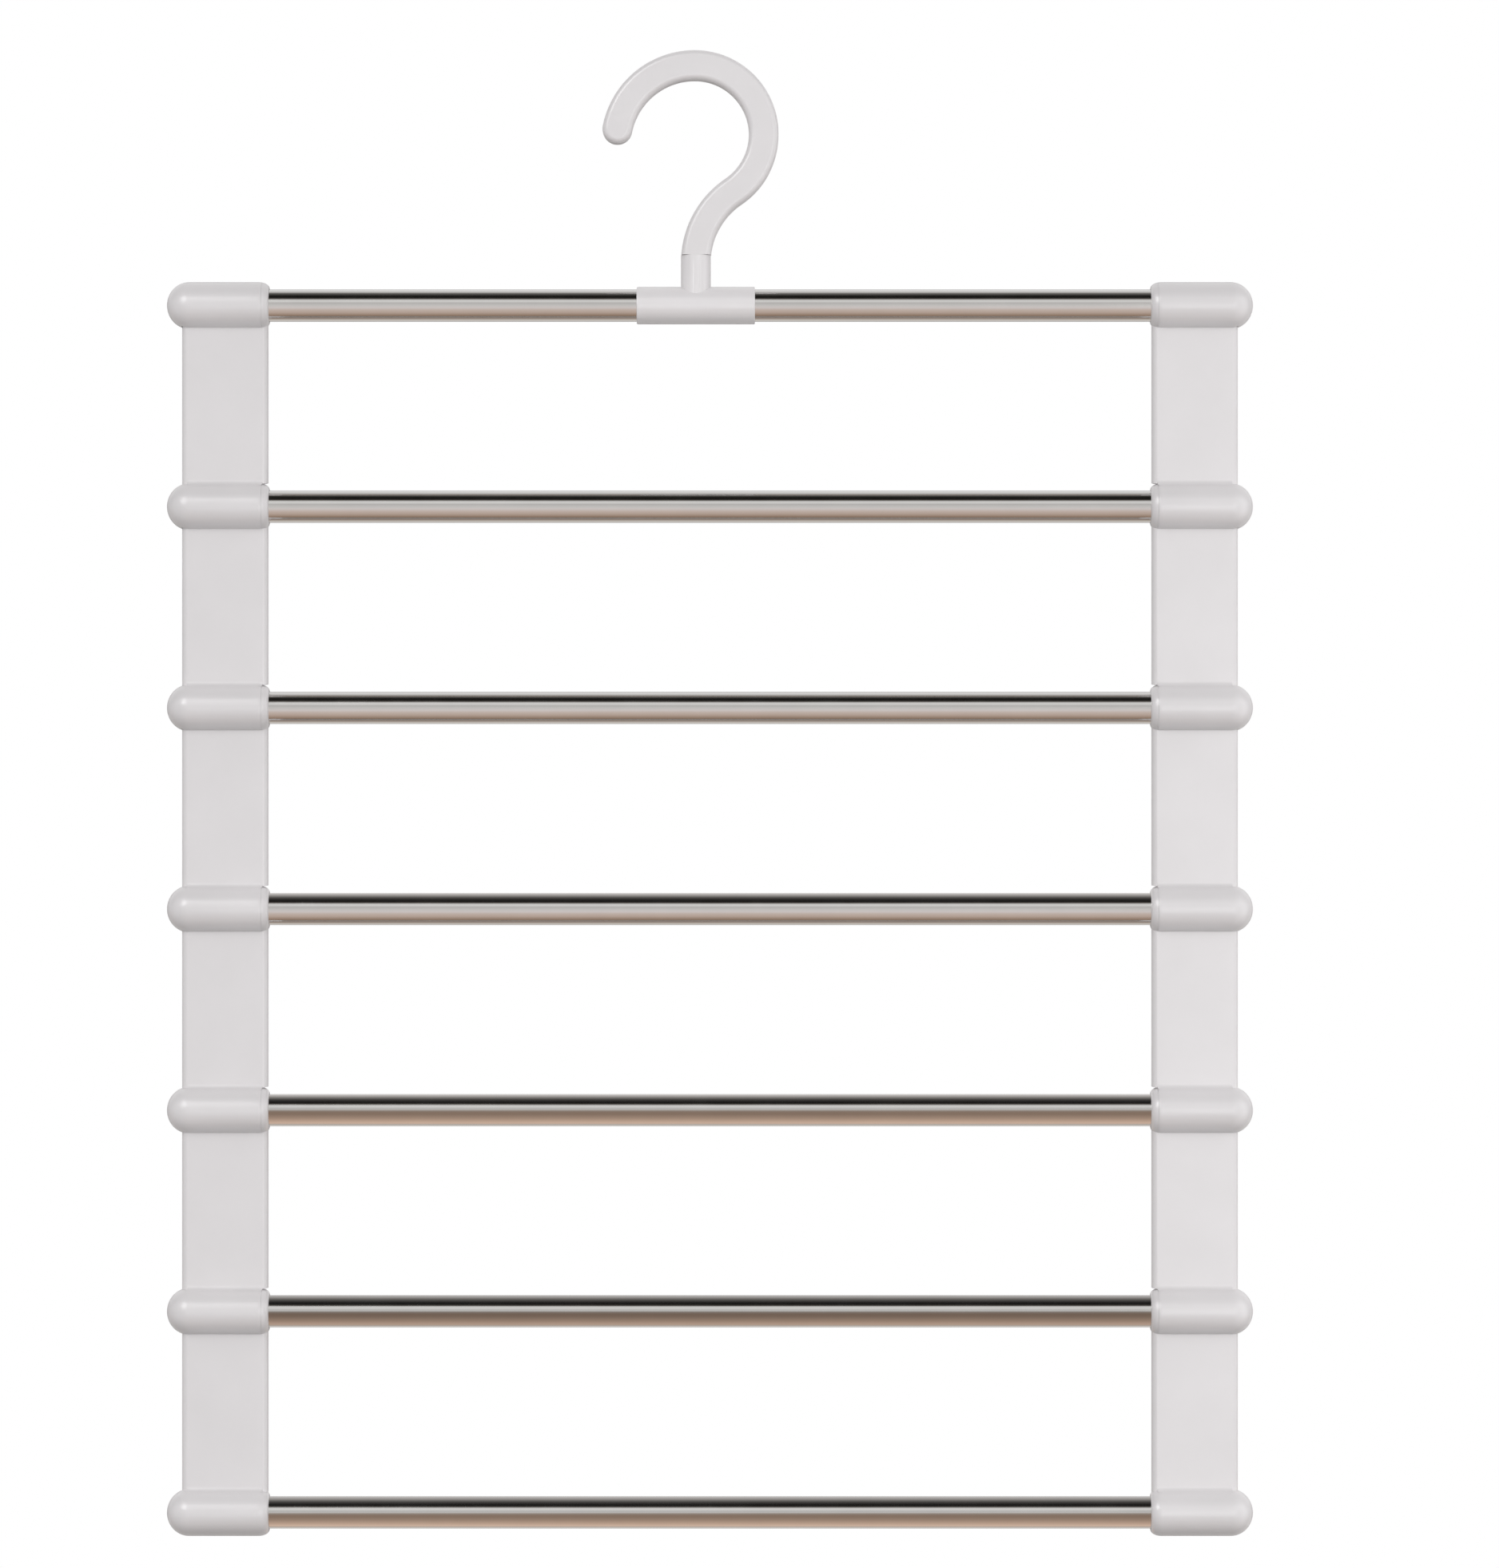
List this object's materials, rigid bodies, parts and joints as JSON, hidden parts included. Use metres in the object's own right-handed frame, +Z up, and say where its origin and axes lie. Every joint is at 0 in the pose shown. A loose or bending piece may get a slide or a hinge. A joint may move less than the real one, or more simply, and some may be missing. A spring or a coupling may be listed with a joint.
{
  "type": "tiered trouser hanger",
  "caption": "Folding ladder of polished tubes between white moulded side links, hung from a sliding tee sleeve with a swivelling hook.",
  "frame": {"origin": "the rail seat: the inner crown of the hook, on the upright axis that the hook swivels about", "axes": "+Z up along the swivel axis, +X along the bars to the right as seen from the front, +Y to the rear"},
  "size_m": [0.3778, 0.0164, 0.5168],
  "materials": {
    "polished_steel": "polished stainless tube",
    "white_plastic": "moulded, satin plates and glossier barrels"
  },
  "bodies": {
    "hook": {"hook": "white_plastic"},
    "tee": {"tee_sleeve": "white_plastic"},
    "top_bar": {"bar_1": "polished_steel"},
    "top_caps": {"top_cap_left": "white_plastic", "top_cap_right": "white_plastic"},
    "tier_2": {"side_link_1_left": "white_plastic", "side_link_1_right": "white_plastic", "bar_2": "polished_steel"},
    "tier_3": {"side_link_2_left": "white_plastic", "side_link_2_right": "white_plastic", "bar_3": "polished_steel"},
    "tier_4": {"side_link_3_left": "white_plastic", "side_link_3_right": "white_plastic", "bar_4": "polished_steel"},
    "tier_5": {"side_link_4_left": "white_plastic", "side_link_4_right": "white_plastic", "bar_5": "polished_steel"},
    "tier_6": {"side_link_5_left": "white_plastic", "side_link_5_right": "white_plastic", "bar_6": "polished_steel"},
    "tier_7": {"side_link_6_left": "white_plastic", "side_link_6_right": "white_plastic", "bar_7": "polished_steel"}
  },
  "joints": [
    {"name": "hook_swivel", "type": "hinge", "parent": "hook", "child": "tee", "pos_m": [0, 0, -0.06085], "axis": [0, 0, 1], "continuous": true},
    {"name": "bar_slide", "type": "slide", "parent": "tee", "child": "top_bar", "axis": [1, 0, 0], "range_m": [-0.1372, 0.1274]},
    {"name": "ladder_tilt", "type": "hinge", "parent": "top_bar", "child": "top_caps", "pos_m": [0.0049, 0, -0.07835], "axis": [1, 0, 0], "range_deg": [-140, 95]},
    {"name": "fold_1", "type": "hinge", "parent": "top_caps", "child": "tier_2", "pos_m": [0.0049, 0, -0.07835], "axis": [1, 0, 0], "range_deg": [0, 45]},
    {"name": "fold_2", "type": "hinge", "parent": "tier_2", "child": "tier_3", "pos_m": [0.0049, 0, -0.14835], "axis": [1, 0, 0], "range_deg": [0, 45]},
    {"name": "fold_3", "type": "hinge", "parent": "tier_3", "child": "tier_4", "pos_m": [0.0049, 0, -0.21835], "axis": [1, 0, 0], "range_deg": [0, 45]},
    {"name": "fold_4", "type": "hinge", "parent": "tier_4", "child": "tier_5", "pos_m": [0.0049, 0, -0.28835], "axis": [1, 0, 0], "range_deg": [0, 45]},
    {"name": "fold_5", "type": "hinge", "parent": "tier_5", "child": "tier_6", "pos_m": [0.0049, 0, -0.35835], "axis": [1, 0, 0], "range_deg": [0, 45]},
    {"name": "fold_6", "type": "hinge", "parent": "tier_6", "child": "tier_7", "pos_m": [0.0049, 0, -0.42835], "axis": [1, 0, 0], "range_deg": [0, 45]}
  ]
}
